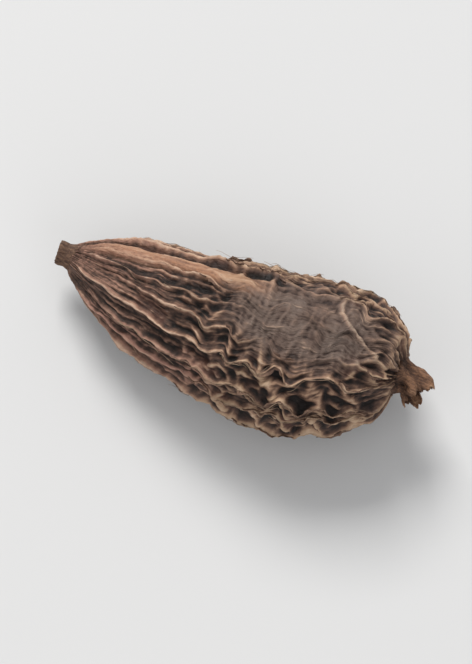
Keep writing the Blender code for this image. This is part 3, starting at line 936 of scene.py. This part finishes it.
def huskMaterial():
    paint = Paint("huskDry")
    place, fibres = paint.place(), paint.vector("fibre")
    streak = paint.noise(paint.drawn(fibres, 0.11), 0.00026, 3.0, 0.6)
    wideStreak = paint.noise(paint.drawn(fibres, 0.16), 0.0009, 2.0, 0.5)
    micro = paint.noise(paint.drawn(fibres, 0.30), 0.00011, 2.0, 0.6)
    blotch = paint.noise(place, 0.0034, 3.0, 0.6)
    fleck = paint.noise(place, 0.00036, 4.0, 0.65)
    ridge, edge, tone = paint.value("ridge"), paint.value("edge"), paint.value("tone")
    panel, band, blush, net = (paint.value(name) for name in ("panel", "band", "blush", "net"))
    # Painted shade darkens the grooves and a painted highlight lightens the crest tips, over the ribs' own
    # lighter brown; calmer on the panel
    height = ridge * 0.74 + (edge - 0.5) * 0.50 + (streak - 0.5) * 0.44 + (wideStreak - 0.5) * 0.22
    height = height + (tone - 0.5) * 0.62 + (fleck - 0.5) * 0.24 + (blotch - 0.5) * 0.30
    height = height + (micro - 0.5) * 0.24 - 0.02
    height = height * (1.0 - panel * 0.30) + panel * 0.14
    # Ramp from painted groove shade through the husk's browns to a painted crest highlight
    steps = ((0.0, "paintedGrooveShade"), (0.19, "dark"), (0.41, "body"),
             (0.60, "slope"), (0.76, "crest"), (0.95, "crestHighlightAndScratch"))
    colour = paint.ramp(height, *((step, huskColours[name]) for step, name in steps))
    # Each tint lies where its factor says
    greyed = panel * paint.spread(blotch, 0.35, 0.60, 0.34, 0.72) * paint.spread(height, 0.15, 0.5)
    reddened = paint.spread(blotch, 0.52, 0.70, 0.0, 0.40) * (1.0 - panel)
    tanned = band * paint.spread(streak * 0.6 + micro * 0.4, 0.38, 0.60, 0.30, 0.85)
    bleached = net * paint.spread(height, 0.42, 0.80, 0.0, 0.60)
    bleached = bleached * paint.spread(blotch, 0.35, 0.6, 0.4, 1.0)
    blushed = blush * paint.spread(height, 0.30, 0.64, 0.0, 0.74)
    scratched = paint.spread(streak, 0.60, 0.70) * paint.spread(height, 0.30, 0.60) * 0.40
    dusted = paint.spread(fleck * 0.65 + blotch * 0.35, 0.53, 0.70)
    dusted = dusted * paint.spread(edge, 0.45, 0.8, 0.1, 0.5)
    for factor, name in ((greyed, "grey"), (reddened, "red"), (tanned, "tan"), (bleached, "straw"),
                         (blushed, "pink"), (scratched, "crestHighlightAndScratch"), (dusted, "dust")):
        colour = paint.mix(factor, colour, huskColours[name])
    rough = paint.spread(streak * 0.5 + fleck * 0.5, 0.30, 0.70, 0.54, 0.86)
    normal = paint.bump(streak, 0.80, 0.00026)
    normal = paint.bump(fleck, 0.60, 0.00020, normal)
    normal = paint.bump(micro, 0.80, 0.00013, normal)
    return paint.finish(colour, rough, normal, 0.38)


frillColours = ((0.0, rgb(0.042, 0.023, 0.017)), (0.35, rgb(0.120, 0.066, 0.046)),
                (0.7, rgb(0.270, 0.163, 0.108)), (1.0, rgb(0.47, 0.33, 0.225)))


def frillMaterial():
    paint = Paint("frillPapery")
    place = paint.place()
    fleck = paint.noise(place, 0.00030, 4.0, 0.65)
    blotch = paint.noise(place, 0.0016, 2.0, 0.5)
    streak = paint.noise(paint.vector("fibre"), 0.000055, 3.0, 0.6)
    height = paint.value("level") * 0.72 + (fleck - 0.5) * 0.70 + (blotch - 0.5) * 0.55
    height = height + (streak - 0.5) * 1.0 + 0.20
    rough = paint.spread(fleck, 0.3, 0.7, 0.55, 0.85)
    normal = paint.bump(fleck, 0.6, 0.00014, paint.bump(streak, 0.8, 0.00010))
    return paint.finish(paint.ramp(height, *frillColours), rough, normal, 0.35)


fibreColours = ((0.3, rgb(0.12, 0.070, 0.045)), (0.7, rgb(0.40, 0.28, 0.19)))


def fibreMaterial():
    paint = Paint("fibreDry")
    fleck = paint.noise(paint.place(), 0.0006, 2.0, 0.5)
    rough = paint.spread(fleck, 0.3, 0.7, 0.55, 0.80)
    return paint.finish(paint.ramp(fleck, *fibreColours), rough, paint.bump(fleck, 0.2, 0.00003), 0.3)


stalkColours = ((0.22, rgb(0.022, 0.012, 0.009)), (0.48, rgb(0.088, 0.048, 0.032)),
                (0.72, rgb(0.235, 0.137, 0.088)), (0.90, rgb(0.42, 0.28, 0.195)))
cutColour = rgb(0.30, 0.198, 0.125)


def stalkMaterial():
    paint = Paint("stalkWood")
    place = paint.place()
    wood = paint.noise(paint.drawn(place, 0.09), 0.00022, 4.0, 0.65)
    fine = paint.noise(paint.drawn(place, 0.14), 0.000075, 3.0, 0.65)
    fleck = paint.noise(place, 0.00022, 4.0, 0.65)
    colour = paint.ramp(wood * 0.9 + (fine - 0.5) * 0.55 + (fleck - 0.5) * 0.30 + 0.05, *stalkColours)
    colour = paint.mix(paint.value("cut") * paint.spread(fleck, 0.30, 0.62, 0.10, 0.90), colour, cutColour)
    rough = paint.spread(fleck, 0.3, 0.7, 0.70, 0.92)
    normal = paint.bump(wood, 0.8, 0.00016)
    normal = paint.bump(fleck, 0.6, 0.00008, normal)
    return paint.finish(colour, rough, paint.bump(fine, 0.8, 0.00007, normal), 0.3)


remnantColours = ((0.0, rgb(0.024, 0.013, 0.009)), (0.35, rgb(0.092, 0.046, 0.029)),
                  (0.7, rgb(0.240, 0.125, 0.071)), (1.0, rgb(0.43, 0.265, 0.165)))


def remnantMaterial():
    paint = Paint("remnantPapery")
    place = paint.place()
    fleck = paint.noise(place, 0.00026, 4.0, 0.65)
    veins = paint.noise(paint.drawn(place, 0.14), 0.00015, 3.0, 0.6)
    # Painted shade: darker in the fold creases, lighter on the outer folds; also lighter towards the free
    # end
    height = paint.value("share") * 0.30 + paint.value("fold") * 0.45
    height = height + (veins - 0.5) * 1.25 + (fleck - 0.5) * 0.6
    rough = paint.spread(fleck, 0.3, 0.7, 0.62, 0.90)
    normal = paint.bump(fleck, 0.6, 0.00014, paint.bump(veins, 0.9, 0.00020))
    return paint.finish(paint.ramp(height, *remnantColours), rough, normal, 0.30)


def floorMaterial():
    paint = Paint("floorPale")
    shade = paint.noise(paint.place(), 0.11, 2.0, 0.5)
    colour = paint.mix(shade, rgb(0.60, 0.603, 0.61), rgb(0.64, 0.642, 0.645))
    return paint.finish(colour, 0.62, paint.bump(shade, 0.02, 0.001), 0.25)


def give(piece, material, slot, *nodes):
    piece.data.materials.clear()
    piece.data.materials.append(material)
    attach(piece, "root")
    if nodes:
        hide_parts(*nodes)


give(huskSkin, huskMaterial(), "husk", "husk")
give(netFrills, frillMaterial(), "husk")
give(looseFibres, fibreMaterial(), "husk")
give(stalkCut, stalkMaterial(), "stalk", "stalk_stub")
give(flowerTube, remnantMaterial(), "remnant", "flower_remnant")
print("materials given")

# Floor, light and camera; each light has its place, size, power and colour
studio = {
    "azimuthDeg": 23.0, "elevationDeg": 70.0, "lens": 135.0, "sensor": 36.0, "viewHeight": 0.0485,
    "lookAt": (0.0, 0.0, 0.0045), "floorSize": 6.0, "floorDrop": 0.00001, "sky": 0.48,
    "lights": {
        "key": ((-0.48, 0.60, 0.80), 0.48, 11.2, (1.0, 0.985, 0.96)),
        "fill": ((0.88, -0.64, 0.64), 0.88, 3.1, (0.96, 0.98, 1.0)),
        "front": ((-0.48, -0.88, 0.80), 0.80, 2.2, (1.0, 1.0, 1.0)),
    },
}

bpy.ops.mesh.primitive_plane_add(size=studio["floorSize"], location=(0, 0, -studio["floorDrop"]))
floor = active()
floor.name = "floor"
bpy.ops.object.transform_apply(location=True, rotation=True, scale=True)
floor.data.materials.append(floorMaterial())

for name, (place, size, power, colour) in studio["lights"].items():
    bpy.ops.object.light_add(type="AREA", location=place)
    lamp = active()
    lamp.name = name
    lamp.data.size = size
    lamp.data.energy = power
    lamp.data.color = colour
    lamp.rotation_euler = (Vector(studio["lookAt"]) - Vector(place)).to_track_quat("-Z", "Y").to_euler()

world = bpy.data.worlds.new("studio")
bpy.context.scene.world = world
world.use_nodes = True
world.node_tree.nodes["Background"].inputs["Color"].default_value = rgb(1.0, 1.0, 1.0)
world.node_tree.nodes["Background"].inputs["Strength"].default_value = studio["sky"]

bpy.ops.object.camera_add()
camera = active()
camera.name = "camera"
azimuth, elevation = (math.radians(studio[name]) for name in ("azimuthDeg", "elevationDeg"))
back = Vector((math.sin(azimuth) * math.cos(elevation), -math.cos(azimuth) * math.cos(elevation),
               math.sin(elevation)))
camera.data.lens = studio["lens"]
camera.data.sensor_width = studio["sensor"]
camera.data.clip_start = 0.005
distance = studio["viewHeight"] * studio["lens"] / studio["sensor"]
camera.location = Vector(studio["lookAt"]) + back * distance
camera.rotation_euler = back.to_track_quat("Z", "Y").to_euler()
bpy.context.scene.camera = camera
bpy.context.scene.view_settings.view_transform = "Standard"
print("studio set")
